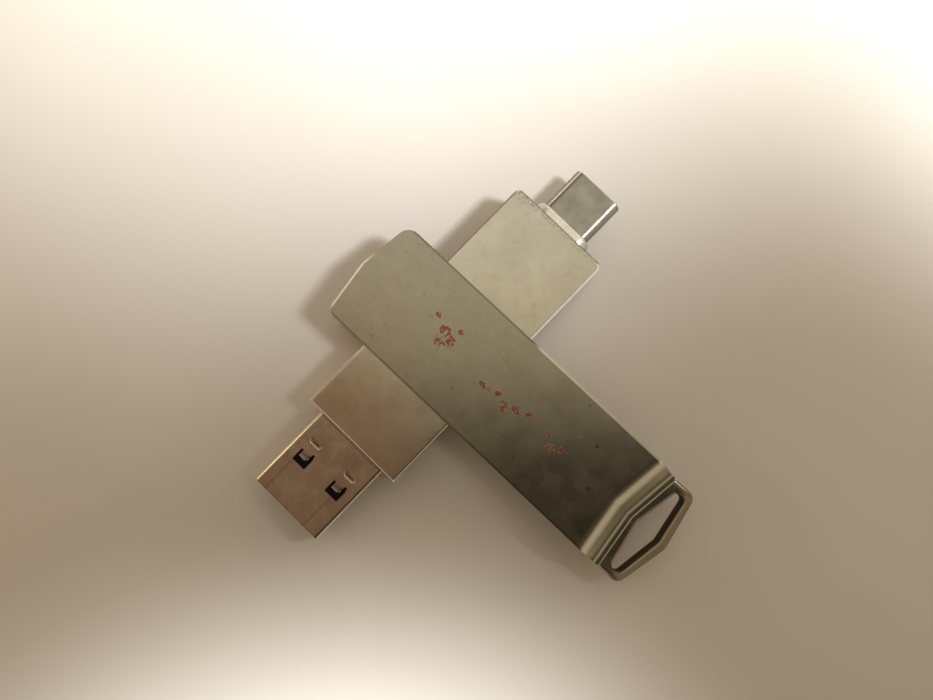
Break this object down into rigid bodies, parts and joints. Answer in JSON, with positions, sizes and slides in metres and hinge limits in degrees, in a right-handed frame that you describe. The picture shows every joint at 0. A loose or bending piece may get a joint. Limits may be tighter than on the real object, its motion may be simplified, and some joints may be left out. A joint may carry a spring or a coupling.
{
  "type": "usb flash drive",
  "caption": "Metal swivel flash drive: a sleeve with a USB-A plug at one end and a USB-C plug at the other turns between the two plates of a cover with a keyring loop.",
  "frame": {"origin": "on the swivel axis, at the flat underside of the cover", "axes": "+Z along the swivel axis, +X along the cover towards its keyring loop, +Y towards the USB-C plug as the drive is turned in the picture"},
  "size_m": [0.0576, 0.0635, 0.0094],
  "materials": {
    "cover_metal": "satin, worn grey-olive metal",
    "sleeve_metal": "satin, warm grey metal",
    "plug_steel": "smooth stamped steel",
    "nickel": "nickel plated",
    "contact_gold": "gold plated",
    "black_plastic": "moulded",
    "carrier_plastic": "moulded",
    "washer_plastic": "smooth sheet",
    "board_green": "solder mask",
    "chip": "moulded epoxy",
    "ceramic": "ceramic",
    "resistor_black": "glazed"
  },
  "bodies": {
    "cover": {"swivel_cover": "cover_metal", "pivot_stud_top": "nickel", "pivot_stud_bottom": "nickel", "friction_washer_top": "washer_plastic", "friction_washer_bottom": "washer_plastic"},
    "drive": {"body_sleeve": "sleeve_metal", "usb_c_collar": "plug_steel", "usb_a_bezel": "black_plastic", "usb_a_shell": "plug_steel", "usb_a_insulator": "black_plastic", "usb_a_contact_1": "contact_gold", "usb_a_contact_2": "contact_gold", "usb_a_contact_3": "contact_gold", "usb_a_contact_4": "contact_gold", "usb_c_shell": "plug_steel", "usb_c_insulator": "black_plastic", "usb_c_contact_row_upper": "contact_gold", "usb_c_contact_row_lower": "contact_gold", "usb_c_latch_plate": "nickel", "carrier_top": "carrier_plastic", "carrier_bottom": "carrier_plastic", "circuit_board": "board_green", "controller_chip": "chip", "flash_chip": "chip", "crystal": "nickel", "voltage_regulator": "chip", "capacitor_1": "ceramic", "capacitor_2": "ceramic", "capacitor_3": "ceramic", "capacitor_4": "ceramic", "capacitor_5": "ceramic", "capacitor_6": "ceramic", "resistor_1": "resistor_black", "resistor_2": "resistor_black", "resistor_3": "resistor_black", "resistor_4": "resistor_black"}
  },
  "joints": [
    {"name": "swivel", "type": "hinge", "parent": "cover", "child": "drive", "pos_m": [0, 0, 0.0047], "axis": [0, 0, 1], "continuous": true}
  ]
}
